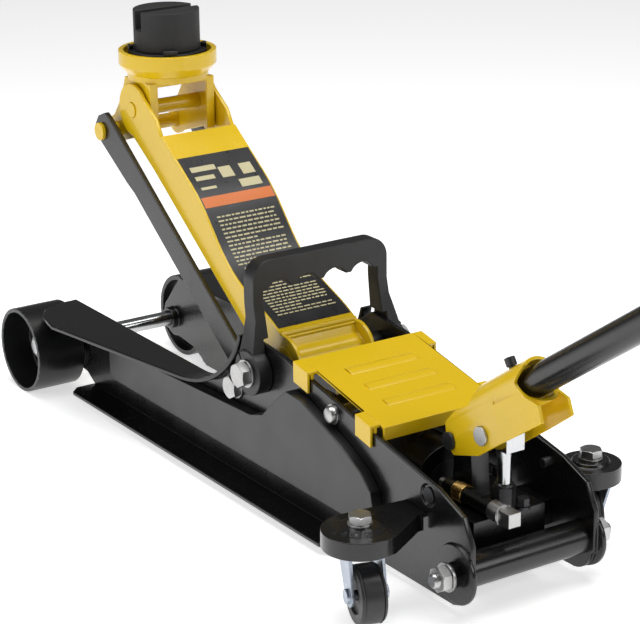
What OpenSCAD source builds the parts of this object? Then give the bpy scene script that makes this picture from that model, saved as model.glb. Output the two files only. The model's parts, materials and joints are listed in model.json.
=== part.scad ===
// Hydraulic trolley jack, shown with its arm raised.
// X runs from the nose to the handle, Y across, Z up from the floor. Left is -Y.
// The drawing is set out from the front axle, then moved so that the origin is
// on the floor under the middle of the whole jack.

/* [Frame] */
// clear width between the two side plates
frame_in = 118; // [108:1:140]
// thickness of the side plates
plate_t = 5; // [4:0.5:6]
// front axle to arm pivot
pivot_x = 366; // [330:1:430]
// height of the arm pivot
pivot_z = 120; // [112:1:135]
// arm pivot to the rear cross tube
tail_len = 276; // [270:1:320]
// reach of the bottom flange outside each side plate
foot_flange = 27; // [20:1:32]
// how far the pressed side panels stand out
panel_d = 10; // [6:1:14]

/* [Wheels] */
// front wheel radius
wheel_r = 42; // [38:1:44]
// front wheel width
wheel_w = 50; // [40:1:60]
// front axle diameter
axle_d = 15; // [12:1:18]
// caster wheel radius
caster_r = 24; // [20:1:26]
// caster wheel width
caster_w = 22; // [18:1:26]
// caster trail behind its king bolt
caster_trail = 14; // [10:1:16]
// left king bolt, out from its side plate
caster_out_left = 60; // [52:1:66]
// right king bolt, out from its side plate
caster_out_right = 44; // [44:1:66]
// resting swivel angle of each caster
caster_turn = 16; // [0:1:30]

/* [Lift arm] */
// arm pivot to saddle carrier pin
arm_len = 312; // [260:1:340]
// angle of the raised arm above level
arm_up = 34.4; // [30:0.1:38]
// angle the arm comes down from its raised stop
arm_travel = 38; // [32:0.5:38.5]
// outside width of the arm
arm_w = 80; // [70:1:86]
// thickness of the arm sheet
arm_t = 4; // [3:0.5:5]
// how far the arm's back dips along its length
arm_dip = 15; // [0:1:18]
// crank radius below the arm pivot
crank_r = 60; // [56:1:62]

/* [Parallel links] */
// link pins, forward of the arm pins
link_dx = 41; // [38:1:46]
// link pins, below the arm pins
link_dz = 27; // [25:1:32]
// link bar width
link_w = 28; // [24:1:30]
// link bar thickness
link_t = 5; // [4:0.5:6]

/* [Saddle] */
// carrier cup outside radius
cup_r = 46; // [40:1:52]
// saddle plate radius
saddle_r = 37; // [32:1:42]
// rubber pad radius
pad_r = 31; // [26:1:36]
// rubber pad height
pad_h = 37; // [30:1:44]

/* [Hydraulics] */
// ram rod diameter
ram_d = 26; // [22:1:28]
// reservoir outside diameter
tank_d = 72; // [62:1:74]
// pump plunger diameter
plunger_d = 12; // [10:1:14]

/* [Handle] */
// handle tube diameter
handle_d = 25; // [21:1:28]
// handle length outside its socket
handle_len = 500; // [400:10:600]
// angle of the resting handle above level
handle_up = 34; // [28:1:38]
// carry handle height above the arm pivot
carry_h = 98; // [84:1:117]

/* [Show] */
// one named part, or all of them

/* [Hidden] */
$fn = 64;
e = 0.05;               // running clearance on the radius
hi = frame_in / 2;      // inner face of a side plate
ho = hi + plate_t;      // outer face of a side plate
wheel_y = ho + 3;       // inner face of a front wheel
axle_z = wheel_r;
fender_z = 2 * wheel_r + 4;
tube_x = pivot_x + tail_len;
tube_z = 36;
tube_r = 14;
rear_x = tube_x + 8;     // centre of the rear cross tube
tail_x = rear_x + 18;
foot_z = 7;
sheet = 4;
sweep_r = 80;            // radius of the flange where it sweeps up to the pivot
sweep_x = pivot_x - 104; // where the sweep starts

// arm geometry, drawn along its own length
cx = pivot_x - arm_len * cos(arm_up);
cz = pivot_z + arm_len * sin(arm_up);
dx = cx - link_dx;
dz = cz - link_dz;
bx = pivot_x - link_dx;
bz = pivot_z - link_dz;
half = arm_travel / 2;
crank_x = pivot_x - crank_r * sin(half);
crank_z = pivot_z - crank_r * cos(half);
ram_z = pivot_z - crank_r * (1 + cos(half)) / 2;
rise = crank_r * (1 - cos(half)) / 2;
arm_in = arm_w / 2 - arm_t;
back_n = 18.5;
back_s0 = 14;
back_s1 = arm_len - 52;

// layers across the jack, from the middle out
cheek_out = arm_in - 1.5;
cheek_in = cheek_out - 4.5;
link_in = arm_w / 2 + 6;
link_out = link_in + link_t;
pin_d = 14;

// hydraulic unit
tank_x = pivot_x + 64;
block_x = tube_x - 90;
block_end = rear_x - tube_r - 2;
block_top = 66;
pump_x = tube_x - 16;
lug_x = pump_x - 43;
lug_z = 116;
gland_h = 21;
throw_x = 42;
throw_z = 18;
valve_y = 17;            // release valve, left of the middle
valve_z = block_top + 7.5;
spring_y = 46;
bar_x = crank_x + 30;
slot_r = pin_d / 2 + 0.45;

// cover
edge_x = pivot_x + 39;
edge_z = pivot_z + 22;
edge_k = -0.2;
cover_x = pivot_x + 56;
cover_len = 118;

// handle line
hx = tube_x + 8;
hz = 177.2;
sock_back = -30;
grip_len = 130;
grip_r = handle_d / 2 + 4;

// casters
king_x = tube_x - 38;
foot_x = tube_x - 32;    // rear end of a bracket where it meets its side plate

king_z = 70;

end_x = hx + handle_len * cos(handle_up) + (grip_r - 2) * sin(handle_up);
shift = (wheel_r - end_x) / 2;

side_shift = (caster_out_left - caster_out_right + 5) / 2;
function king_y(right) = ho + (right ? caster_out_right : caster_out_left);
function edge_at(x) = edge_z + edge_k * (x - edge_x);
function back_dip(s) = s > 14 && s < 196 ? arm_dip * (0.5 - 0.5 * cos(360 * (s - 14) / 182)) : 0;
function back_at(s) = back_n - back_dip(s);

// a cylinder along Y
module ycyl(r, y0, y1, x = 0, z = 0) {
    translate([x, y0, z]) rotate([-90, 0, 0]) cylinder(r = r, h = y1 - y0);
}

// a cylinder along X
module xcyl(r, x0, x1, y = 0, z = 0) {
    translate([x0, y, z]) rotate([0, 90, 0]) cylinder(r = r, h = x1 - x0);
}

// a side view drawn in X and Z, given a thickness in Y
module side_cut(y0, y1) {
    translate([0, y1, 0]) rotate([90, 0, 0]) linear_extrude(y1 - y0) children();
}

// a hexagon prism along Y
module hex_y(af, y0, y1, x, z) {
    translate([x, y0, z]) rotate([-90, 0, 0])
        cylinder(r = af / sqrt(3), h = y1 - y0, $fn = 6);
}

// the right-hand piece as drawn, or its mirror on the left
module hand(right) {
    if (right) children();
    else mirror([0, 1, 0]) children();
}

// arm coordinates: s from the pivot towards the saddle, n out of the arm's back
module along_arm() {
    translate([pivot_x, 0, pivot_z]) rotate([0, -(180 - arm_up), 0])
        mirror([0, 0, 1]) children();
}

// handle coordinates: X along the handle, Z out of its upper side
module along_handle() {
    translate([hx, 0, hz]) rotate([0, -handle_up, 0]) children();
}

// ---- frame ----

module web_outline() {
    tx = tail_x;
    difference() {
        union() {
            polygon([
                [-12, axle_z - 16], [40, 20], [62, foot_z], [tube_x + 2, foot_z],
                [tx, 29], [tx, 64], [tx - 12, 86], [tx - 42, edge_at(tx - 42)],
                [edge_x, edge_z], [pivot_x - 10, pivot_z + 26],
                [sweep_x, fender_z], [14, fender_z], [-14, axle_z + 14]
            ]);
            translate([0, axle_z]) circle(r = 20);
            translate([rear_x - 8, tube_z - 7]) circle(r = 22);
        }
        translate([sweep_x, fender_z + sweep_r]) circle(r = sweep_r);
    }
}

module side_plate() {
    difference() {
        union() {
            side_cut(hi, ho) web_outline();
            // top flange over the wheel, tapering to the rear
            intersection() {
                side_cut(hi, ho + wheel_w + 4) difference() {
                    union() {
                        translate([14, fender_z - sheet]) square([sweep_x - 14, sheet]);
                        difference() {
                            translate([sweep_x, fender_z + sweep_r]) circle(r = sweep_r + sheet);
                            translate([sweep_x - 200, fender_z - 20]) square([200, 200]);
                        }
                    }
                    translate([sweep_x, fender_z + sweep_r]) circle(r = sweep_r);
                    translate([sweep_x, pivot_z + 26]) square([200, 200]);
                }
                translate([0, 0, fender_z - 6]) linear_extrude(80) polygon([
                    [14, hi], [14, ho + 8], [22, ho + 34], [41, ho + 47], [72, ho + 53],
                    [sweep_x - 5, ho + 22], [pivot_x - 24, ho + 6], [pivot_x - 24, hi]
                ]);
            }
            // bottom flange
            translate([0, 0, foot_z]) linear_extrude(sheet) polygon([
                [50, ho - 2], [50, ho + 18], [59, ho + foot_flange],
                [tube_x - 148, ho + foot_flange], [tube_x - 140, ho + 18], [tube_x - 140, ho - 2]
            ]);
            ycyl(11, hi - 7, wheel_y - 0.4, 0, axle_z);
            // pressed ring round the rear tube
            ycyl(25, ho - 1, ho + 3, rear_x, tube_z);
        }
        ycyl(axle_d / 2 + e, hi - 10, wheel_y + 2, 0, axle_z);
        ycyl(10 + e, hi - 2, ho + 2, pivot_x, pivot_z);
        ycyl(7 + e, hi - 2, ho + 2, bx, bz);
        ycyl(6 + e, hi - 2, ho + 2, pivot_x + 113, edge_at(pivot_x + 113) - 12);
        ycyl(6 + e, hi - 2, ho + 6, rear_x, tube_z);
        ycyl(4 + e, hi - 2, ho + 2, tube_x - 31, edge_at(tube_x - 31) - 12);
        ycyl(9, ho - 2, ho + 2, tube_x - 31, edge_at(tube_x - 31) - 12);
    }
}

module side_plate_left() { color("#151617") hand(false) side_plate(); }
module side_plate_right() { color("#151617") hand(true) side_plate(); }

module panel_outline(inset) {
    p = pivot_x;
    k = edge_at(tube_x - 163) - 127.2;
    i = inset;
    polygon([
        [106 + i, 42 + i], [112 + i, 36 + i], [tube_x - 139, 36 + i],
        [tube_x - 102, 44 + i], [tube_x - 93 - i, 56], [tube_x - 96 - i, 70 - i],
        [tube_x - 111 - i, 83 - i], [tube_x - 139 - i, 97 + k - i], [p + 77, 118 - i],
        [p + 55 + i, 119.5 - i], [p + 38 + i, 106 - i], [p + 16 + i, 86 - i],
        [p - 4, 80 - i], [112 + i, 69 - i], [106 + i, 66 - i]
    ]);
}

module side_panel() {
    difference() {
        side_cut(ho, ho + panel_d) panel_outline(0);
        side_cut(ho - 1, ho + panel_d - 3) panel_outline(3);
    }
}

module side_panel_left() { color("#2b2e31") hand(false) side_panel(); }
module side_panel_right() { color("#2b2e31") hand(true) side_panel(); }

module front_axle() {
    color("#c9ccd0") ycyl(axle_d / 2, -wheel_y - wheel_w + 16, wheel_y + wheel_w - 16, 0, axle_z);
}

module axle_nut() {
    y = wheel_y + wheel_w;
    difference() {
        union() {
            ycyl(13, y - 29.6, y - 27.2, 0, axle_z);
            hex_y(21, y - 27.2, y - 18, 0, axle_z);
        }
        ycyl(axle_d / 2 + 0.02, y - 31, y - 17, 0, axle_z);
    }
}

module axle_nut_left() { color("#c9ccd0") hand(false) axle_nut(); }
module axle_nut_right() { color("#c9ccd0") hand(true) axle_nut(); }

module pivot_shaft() {
    color("#9a9da1") difference() {
        ycyl(10, -ho, ho, pivot_x, pivot_z);
        ycyl(6 + 0.02, -ho - 1, -ho + 22, pivot_x, pivot_z);
        ycyl(6 + 0.02, ho - 22, ho + 1, pivot_x, pivot_z);
    }
}

module pivot_bolt() {
    color("#c9ccd0") union() {
        ycyl(6, ho - 20, ho + 16, pivot_x, pivot_z);
        ycyl(12.5, ho + 14.3, ho + 16.3, pivot_x, pivot_z);
        hex_y(20, ho + 16.3, ho + 25, pivot_x, pivot_z);
    }
}

module pivot_bolt_left() { hand(false) pivot_bolt(); }
module pivot_bolt_right() { hand(true) pivot_bolt(); }

module link_bolt() {
    color("#c9ccd0") union() {
        ycyl(7, link_in - 3, ho + 2, bx, bz);
        ycyl(11, link_in - 3.6, link_in - 0.4, bx, bz);
        ycyl(11, link_out + 0.4, hi, bx, bz);
        ycyl(11.5, ho, ho + 1.8, bx, bz);
        hex_y(19, ho + 1.8, ho + 9, bx, bz);
    }
}

module link_bolt_left() { hand(false) link_bolt(); }
module link_bolt_right() { hand(true) link_bolt(); }

module tie_rod() {
    x = pivot_x + 113;
    z = edge_at(x) - 12;
    color("#c9ccd0") union() {
        ycyl(6, -ho - 4, ho + 4, x, z);
        for (s = [-1, 1]) {
            ycyl(8.6, s > 0 ? ho : -ho - 1.6, s > 0 ? ho + 1.6 : -ho, x, z);
            ycyl(7.6, s > 0 ? ho + 1.6 : -ho - 7, s > 0 ? ho + 7 : -ho - 1.6, x, z);
        }
    }
}

module rear_tube() {
    color("#17181a") difference() {
        ycyl(tube_r, -hi, hi, rear_x, tube_z);
        ycyl(6 + e, -hi - 1, hi + 1, rear_x, tube_z);
    }
}

module rear_bolt() {
    color("#c9ccd0") union() {
        ycyl(6, hi - 30, ho + 25, rear_x, tube_z);
        ycyl(10.5, ho + 3, ho + 9, rear_x, tube_z);
        ycyl(12, ho + 9, ho + 11.4, rear_x, tube_z);
        hex_y(19, ho + 11.4, ho + 20, rear_x, tube_z);
    }
}

module rear_bolt_left() { hand(false) rear_bolt(); }
module rear_bolt_right() { hand(true) rear_bolt(); }

module side_screw() {
    x = tube_x - 31;
    color("#222325") union() {
        ycyl(4, hi - 8, ho - 1, x, edge_at(x) - 12);
        ycyl(6.5, ho - 2, ho - 0.2, x, edge_at(x) - 12);
    }
}

module side_screw_left() { hand(false) side_screw(); }
module side_screw_right() { hand(true) side_screw(); }

// cover sheet, with wrap-over tabs, pressed ribs and a folded rear lip
module cover_plate() {
    t = 2.5;
    x0 = cover_x;
    x1 = cover_x + cover_len;
    z0 = edge_at(x0) + 4.5;
    z1 = edge_at(x1) + 4.5;
    tab = 22;
    color("#f2c80a") union() {
        side_cut(-hi + 1.5, hi - 1.5) polygon([
            [x0, z0], [x1, z1], [x1, z1 - 9], [x1 + t, z1 - 9], [x1 + t, z1 + t], [x0, z0 + t]
        ]);
        for (x = [x0, x1 - tab - 4]) {
            za = edge_at(x) + 4.5;
            zb = edge_at(x + tab) + 4.5;
            side_cut(-ho - 0.4 - t, ho + 0.4 + t)
                polygon([[x, za], [x + tab, zb], [x + tab, zb + t], [x, za + t]]);
            for (s = [-1, 1])
                side_cut(s > 0 ? ho + 0.4 : -ho - 0.4 - t, s > 0 ? ho + 0.4 + t : -ho - 0.4)
                    polygon([[x, za], [x + tab, zb], [x + tab, zb - 16], [x, za - 16]]);
            for (s = [-1, 1])
                side_cut(s > 0 ? hi + 1 : -ho + 1, s > 0 ? ho - 1 : -hi - 1)
                    polygon([[x, za], [x + tab, zb], [x + tab, zb - 4.5], [x, za - 4.5]]);
        }
        for (i = [0:2]) {
            x = x0 + 32 + i * 27;
            z = edge_at(x) + 7;
            intersection() {
                ycyl(14, -34, 34, x, z - 12.2);
                translate([x - 12, -40, z - 3]) cube([24, 80, 10]);
            }
        }
    }
}

// ---- hydraulic unit ----

module power_block() {
    color("#1b1c1e") difference() {
        union() {
            translate([block_x, -36, 28]) cube([block_end - block_x, 72, block_top - 28]);
            translate([block_x + 24, -hi, 34]) cube([38, 2 * hi, 22]);
            for (s = [-1, 1])
                translate([block_x + 8, s * spring_y - 7, ram_z - 10]) cube([5, 14, 20]);
            for (s = [-1, 1])
                translate([block_x + 8, s > 0 ? 35 : -spring_y, 40]) cube([20, spring_y - 35, 14]);
        }
        translate([pump_x, 0, block_top - 12]) cylinder(r = plunger_d / 2 + e, h = 20);
    }
}

module reservoir() {
    color("#202124") difference() {
        xcyl(tank_d / 2, tank_x, block_x, 0, ram_z);
        xcyl(22 + e, tank_x - 1, block_x + 1, 0, ram_z);
    }
}

module cylinder_body() {
    difference() {
        union() {
            xcyl(22, tank_x, block_x, 0, ram_z);
            xcyl(27, tank_x - 5, tank_x, 0, ram_z);
        }
        xcyl(ram_d / 2 + e, tank_x - 8, tank_x + 20, 0, ram_z);
        xcyl(ram_d / 2 + 2 + e, tank_x + 14, block_x - 6, 0, ram_z);
    }
}

module cylinder_node() { color("#8b8e92") cylinder_body(); }

module pump_gland() {
    color("#2a2b2d") difference() {
        union() {
            translate([pump_x, 0, block_top]) cylinder(r = 17 / sqrt(3), h = gland_h, $fn = 6);
            translate([pump_x, 0, block_top + gland_h]) cylinder(r = 8, h = 2);
        }
        translate([pump_x, 0, block_top - 1]) cylinder(r = plunger_d / 2 + e, h = gland_h + 4);
    }
}

module pump_lug() {
    color("#1b1c1e") difference() {
        side_cut(-9, 9) union() {
            polygon([
                [lug_x - 14, block_top], [lug_x + 14, block_top],
                [lug_x + 10, lug_z], [lug_x - 10, lug_z]
            ]);
            translate([lug_x, lug_z]) circle(r = 10);
        }
        ycyl(6 + e, -10, 10, lug_x, lug_z);
    }
}

module release_sleeve() {
    color("#1b1c1e") difference() {
        union() {
            xcyl(6.5, pump_x - 52, pump_x + 8, -valve_y, valve_z);
            translate([pump_x - 44, -valve_y - 6, block_top]) cube([18, 12, 5]);
        }
        xcyl(4 + e, pump_x - 53, pump_x + 9, -valve_y, valve_z);
    }
}

module release_spindle() {
    color("#b9bcc0") translate([0, -valve_y, valve_z]) union() {
        xcyl(4, pump_x - 60, pump_x + 12);
        xcyl(8.5, pump_x + 9, pump_x + 22);
        translate([pump_x + 21, -6, -6]) cube([15, 12, 12]);
    }
}

module pump_plunger() {
    px = lug_x + throw_x + 1.2;
    pz = lug_z + throw_z;
    w = 6 + 3.1;
    color("#c9ccd0") difference() {
        union() {
            translate([pump_x, 0, block_top + 6]) cylinder(r = plunger_d / 2, h = 49);
            translate([pump_x - 14, -9, pz - 14]) cube([28, 18, 23]);
        }
        ycyl(6.55, -10, 10, px - 2.6, pz);
        ycyl(6.55, -10, 10, px + 2.6, pz);
        translate([px - 2.6, -10, pz - 6.55]) cube([5.2, 20, 13.1]);
    }
}

// ---- casters ----

module bracket_outline(i, king_y, disc_r) {
    difference() {
        union() {
            translate([king_x, king_y]) circle(r = disc_r - i);
            polygon([
                [king_x - disc_r + i, king_y], [king_x - disc_r + 6 + i, ho],
                [foot_x - i, ho], [foot_x - i, ho + 8],
                [king_x + disc_r - 2 - i, king_y - 14], [king_x + disc_r - i, king_y]
            ]);
        }
        translate([king_x - 50, ho - 50]) square([150, 50]);
    }
}

module caster_bracket(king_y, disc_r) {
    color("#17181a") difference() {
        union() {
            translate([0, 0, king_z]) linear_extrude(sheet) bracket_outline(0, king_y, disc_r);
            translate([king_x, king_y, king_z + sheet]) cylinder(r1 = disc_r - 9, r2 = 15, h = 3);
            difference() {
                translate([0, 0, king_z - 11]) linear_extrude(11) bracket_outline(0, king_y, disc_r);
                translate([0, 0, king_z - 12]) linear_extrude(13) bracket_outline(3, king_y, disc_r);
                translate([king_x - 40, ho - 1, king_z - 12]) cube([150, 4, 13]);
            }
        }
        translate([king_x, king_y, king_z - 2]) cylinder(r = 6 + 0.02, h = 12);
    }
}

module caster_bracket_left() { hand(false) caster_bracket(king_y(false), 31); }
module caster_bracket_right() { hand(true) caster_bracket(king_y(true), 26); }

module king_bolt(king_y) {
    color("#c9ccd0") translate([king_x, king_y, 0]) union() {
        translate([0, 0, king_z - 16]) cylinder(r = 6, h = 24);
        translate([0, 0, king_z + 7]) cylinder(r = 10, h = 2);
        translate([0, 0, king_z + 9]) cylinder(r = 17 / sqrt(3), h = 7, $fn = 6);
        translate([0, 0, king_z - 16]) cylinder(r = 9, h = 5);
    }
}

module king_bolt_left() { hand(false) king_bolt(king_y(false)); }
module king_bolt_right() { hand(true) king_bolt(king_y(true)); }

// fork and wheel are drawn for a king bolt at the origin, trailing along +X
module fork() {
    h = caster_w / 2 + 1.2;
    t = 2.6;
    difference() {
        union() {
            translate([0, 0, king_z - 7]) cylinder(r = 19, h = 6.7);
            translate([-15, -h - t, king_z - 10]) cube([30, 2 * (h + t), 3.2]);
            for (s = [-1, 1])
                side_cut(s > 0 ? h : -h - t, s > 0 ? h + t : -h) union() {
                    polygon([
                        [-15, king_z - 8], [15, king_z - 8],
                        [caster_trail + 9, caster_r], [caster_trail - 8, caster_r - 3]
                    ]);
                    translate([caster_trail, caster_r]) circle(r = 9);
                }
            ycyl(4, -h - t - 1.6, h + t + 1.6, caster_trail, caster_r);
            ycyl(6, -h - t - 2.6, -h - t, caster_trail, caster_r);
            ycyl(6, h + t, h + t + 2.6, caster_trail, caster_r);
        }
        translate([0, 0, king_z - 14]) cylinder(r = 6 + e, h = 14);
    }
}

module caster_roll() {
    h = caster_w / 2;
    difference() {
        union() {
            ycyl(caster_r - 0.8, -h + 0.4, h - 0.4, caster_trail, caster_r);
            ycyl(caster_r, -h + 3, h - 3, caster_trail, caster_r);
        }
        ycyl(4 + e, -h - 1, h + 1, caster_trail, caster_r);
        ycyl(15, h - 3, h + 1, caster_trail, caster_r);
        ycyl(15, -h - 1, -h + 3, caster_trail, caster_r);
    }
}

module at_king(right) {
    translate([king_x, right ? king_y(true) : -king_y(false), 0])
        rotate([0, 0, right ? 180 - caster_turn : -caster_turn]) children();
}

module caster_fork_left() { color("#b6c2d0") at_king(false) fork(); }
module caster_fork_right() { color("#b6c2d0") at_king(true) fork(); }
module caster_wheel_left() { color("#161616") at_king(false) caster_roll(); }
module caster_wheel_right() { color("#161616") at_king(true) caster_roll(); }

// ---- front wheels ----

module front_wheel() {
    y0 = wheel_y;
    y1 = wheel_y + wheel_w;
    difference() {
        union() {
            ycyl(wheel_r, y0, y1, 0, axle_z);
        }
        ycyl(wheel_r - 4, y1 - 30, y1 + 1, 0, axle_z);
        ycyl(wheel_r - 5, y0 - 1, y0 + 10, 0, axle_z);
        ycyl(axle_d / 2 + e, y0 - 1, y1 + 1, 0, axle_z);
    }
}

module hub() {
    difference() {
        ycyl(15, wheel_y + 0.4, wheel_y + 11, 0, axle_z);
        ycyl(axle_d / 2 + e, wheel_y - 1, wheel_y + 12, 0, axle_z);
    }
}

module wheel_left() { color("#1a1b1c") hand(false) union() { front_wheel(); hub(); } }
module wheel_right() { color("#1a1b1c") hand(true) union() { front_wheel(); hub(); } }

// ---- carry handle ----

module carry_outline() {
    w = ho + 6;
    foot = ho + 14;
    zt = pivot_z + carry_h;
    difference() {
        union() {
            for (y = [-w + 18, w - 18]) translate([y, zt - 18]) circle(r = 18);
            translate([-w + 18, zt - 60]) square([2 * w - 36, 60]);
            polygon([
                [-w, zt - 18], [w, zt - 18], [w, pivot_z + 46], [foot, pivot_z + 16],
                [foot, pivot_z], [-foot, pivot_z], [-foot, pivot_z + 16], [-w, pivot_z + 46]
            ]);
        }
        translate([-w + 10.5, pivot_z - 1]) square([2 * w - 21, carry_h - 26]);
        for (i = [-1.5:1:1.5]) translate([i * 29, zt - 33]) circle(r = 13);
    }
}

module carry_handle() {
    w = ho + 14;
    color("#19191a") difference() {
        union() {
            intersection() {
                translate([pivot_x + 30, 0, 0]) rotate([90, 0, -90]) linear_extrude(70) carry_outline();
                side_cut(-w, w) polygon([
                    [pivot_x - 13, pivot_z - 2], [pivot_x + 13, pivot_z - 2],
                    [pivot_x + 6, pivot_z + 34], [pivot_x, pivot_z + 60],
                    [pivot_x, pivot_z + carry_h + 1], [pivot_x - 16, pivot_z + carry_h + 1],
                    [pivot_x - 16, pivot_z + 60], [pivot_x - 13, pivot_z + 34]
                ]);
            }
            ycyl(20, ho + 0.3, ho + 14, pivot_x, pivot_z);
            ycyl(20, -ho - 14, -ho - 0.3, pivot_x, pivot_z);
        }
        side_cut(-ho - 0.3, ho + 0.3) polygon([
            [pivot_x - 40, pivot_z - 30], [pivot_x + 40, pivot_z - 30],
            [pivot_x + 40, pivot_z + 30], [pivot_x - 40, pivot_z + 30]
        ]);
        ycyl(6 + e, -w - 1, w + 1, pivot_x, pivot_z);
    }
}

// ---- lift arm ----

function back_line(off, n = 24) =
    [for (i = [0:n]) let (s = back_s0 + (back_s1 - back_s0) * i / n) [s, back_at(s) + off]];

// cheek outline in arm coordinates: ear, back edge, pivot boss and crank
module cheek_outline() {
    polygon(concat(
        back_line(-2),
        [[back_s1 + 16, 23.5], [arm_len - 4, 23.5], [arm_len, -22], [arm_len - 60, -20],
         [60, -24], [8, -18]]
    ));
    translate([arm_len, 0]) circle(r = 25);
    circle(r = 26);
    crank_leg();
}

// crank leg from the pivot boss to the crank pin
module crank_leg() {
    a = crank_ang();
    k = [crank_r * cos(a), crank_r * sin(a)];
    u = [cos(a), sin(a)];
    v = [-sin(a), cos(a)];
    polygon([20 * v, k + 13 * v, k - 13 * v, -20 * v]);
    translate(k) circle(r = 15);
}

// direction of the crank pin seen in arm coordinates
function crank_ang() = -(90 - half + arm_up);

module back_sheet() {
    side_cut(-arm_w / 2, arm_w / 2)
        polygon(concat(back_line(0), [for (i = [24:-1:0]) back_line(-arm_t)[i]]));
}

module lift_arm() {
    kx = crank_r * cos(crank_ang());
    kz = crank_r * sin(crank_ang());
    color("#f2c80a") along_arm() difference() {
        union() {
            for (s = [-1, 1])
                side_cut(s > 0 ? arm_in : -arm_w / 2, s > 0 ? arm_w / 2 : -arm_in) cheek_outline();
            back_sheet();
            // rear plate from the back sheet down to the pivot tube
            side_cut(-arm_in - 1, arm_in + 1)
                polygon([[back_s0 + 0.5, 17], [back_s0 + arm_t, 17], [7, 10.5], [3, 11.5]]);
            ycyl(15, -arm_w / 2 - 1, arm_w / 2 + 1, 0, 0);
        }
        ycyl(10 + e, -60, 60, 0, 0);
        ycyl(pin_d / 2 + 0.02, -60, 60, arm_len, 0);
        ycyl(pin_d / 2 + 0.02, -60, 60, kx, kz);
    }
}

module carrier_pin() {
    color("#f2c80a") ycyl(pin_d / 2, -arm_w / 2 - 1.2, arm_w / 2 + 1.2, cx, cz);
}

module crank_pin() {
    color("#9a9da1") ycyl(pin_d / 2, -arm_w / 2 - 1.2, arm_w / 2 + 1.2, crank_x, crank_z);
}

// ---- parallel links ----

module link_bar() {
    a = atan2(bz - dz, bx - dx);
    l = sqrt((bx - dx) * (bx - dx) + (bz - dz) * (bz - dz));
    h = link_w / 2;
    difference() {
        union() {
            side_cut(link_in, link_out) translate([dx, dz]) rotate(a) polygon([
                [-13, -3], [-13, h - 6], [-5, h + 6], [4, h + 7], [l, h - 1], [l, 2 - h],
                [76, 8 - h], [61, 6 - h], [2, 3.5 - h], [-9, 3.5 - h]
            ]);
            ycyl(h, link_in, link_out, bx, bz);
        }
        ycyl(7 + e, link_in - 1, link_out + 1, bx, bz);
        ycyl(pin_d / 2 + 0.02, link_in - 1, link_out + 1, dx, dz);
    }
}

module link_left() { color("#1c1d1f") hand(false) link_bar(); }
module link_right() { color("#1c1d1f") hand(true) link_bar(); }

module link_pin() {
    color("#f2c80a") union() {
        ycyl(pin_d / 2, -link_out - 1, link_out + 1, dx, dz);
        ycyl(8.5, link_out, link_out + 3.4, dx, dz);
        ycyl(8.5, -link_out - 3.4, -link_out, dx, dz);
    }
}

// ---- saddle carrier, saddle and pad ----

module carrier_side() {
    difference() {
        union() {
            polygon([
                [cx - 22, cz + 27.5], [cx - 29, cz + 8], [dx - 13, dz + 2], [dx, dz - 13],
                [cx + 16, cz - 22], [cx + 26, cz - 22], [cx + 26, cz + 27.5]
            ]);
            translate([dx, dz]) circle(r = 14);
            translate([cx, cz]) circle(r = 22);
        }
    }
}

module saddle_carrier() {
    color("#f2c80a") difference() {
        union() {
            for (s = [-1, 1])
                side_cut(s > 0 ? cheek_in : -cheek_out, s > 0 ? cheek_out : -cheek_in) carrier_side();
            // rear wall with its window
            difference() {
                translate([cx + 21.5, -cheek_out, cz - 22]) cube([4.5, 2 * cheek_out, 50]);
                translate([cx + 15, -cheek_in + 4, cz - 30]) cube([20, 2 * cheek_in - 8, 54]);
            }
            translate([cx, 0, cz + 27]) cylinder(r = cup_r - 8, h = 6);
            translate([cx, 0, cz + 33]) cylinder(r1 = cup_r - 7, r2 = cup_r, h = 8);
            translate([cx, 0, cz + 41]) cylinder(r = cup_r, h = 13);
        }
        translate([cx, 0, cz + 40]) cylinder(r = cup_r - 5, h = 16);
        translate([cx, 0, cz + 25]) cylinder(r = 12 + e, h = 20);
        ycyl(pin_d / 2 + e, -60, 60, cx, cz);
        ycyl(pin_d / 2 + e, -60, 60, dx, dz);
    }
}

module saddle() {
    color("#26282b") translate([cx, 0, cz]) difference() {
        union() {
            translate([0, 0, 25]) cylinder(r = 12, h = 16);
            translate([0, 0, 40.4]) cylinder(r = saddle_r, h = 14);
            translate([0, 0, 54]) difference() {
                cylinder(r = saddle_r, h = 4.4);
                translate([0, 0, -1]) cylinder(r = pad_r + 0.6, h = 8);
                for (a = [20, 110]) rotate([0, 0, a]) translate([-60, -21, 0.4]) cube([120, 42, 8]);
            }
        }
    }
}

module rubber_pad() {
    color("#2b2b2c") translate([cx, 0, cz + 54.8]) difference() {
        cylinder(r = pad_r, h = pad_h);
        translate([-5.5, -60, pad_h - 18]) cube([11, 120, 20]);
    }
}

// ---- ram, crosshead and return springs ----

module ram() {
    color("#c9ccd0") union() {
        xcyl(ram_d / 2, crank_x + 15, tank_x + 24, 0, ram_z);
        xcyl(ram_d / 2 + 2, tank_x + 16, tank_x + 30, 0, ram_z);
    }
}

module crosshead() {
    color("#2a2b2d") difference() {
        union() {
            translate([crank_x - 15, -17, ram_z - 17]) cube([31, 34, 34]);
            xcyl(17, crank_x + 15, bar_x + 3, 0, ram_z);
            translate([bar_x - 3, -spring_y - 8, ram_z - 9]) cube([6, 2 * spring_y + 16, 18]);
        }
        ycyl(slot_r, -20, 20, crank_x, ram_z - rise);
        ycyl(slot_r, -20, 20, crank_x, ram_z + rise);
        translate([crank_x - slot_r, -20, ram_z - rise]) cube([2 * slot_r, 40, 2 * rise]);
        xcyl(ram_d / 2 + 0.02, crank_x + 15, bar_x + 10, 0, ram_z);
    }
}

module spring(s) {
    x0 = bar_x + 3;
    x1 = block_x + 8;
    n = 9;
    color("#8d8f92") union() {
        xcyl(2.2, x0, x1, s * spring_y, ram_z);
        for (i = [0:n]) let (x = x0 + 12 + (x1 - x0 - 24) * i / n)
            xcyl(6.5, x - 4, x + 4, s * spring_y, ram_z);
    }
}

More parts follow.
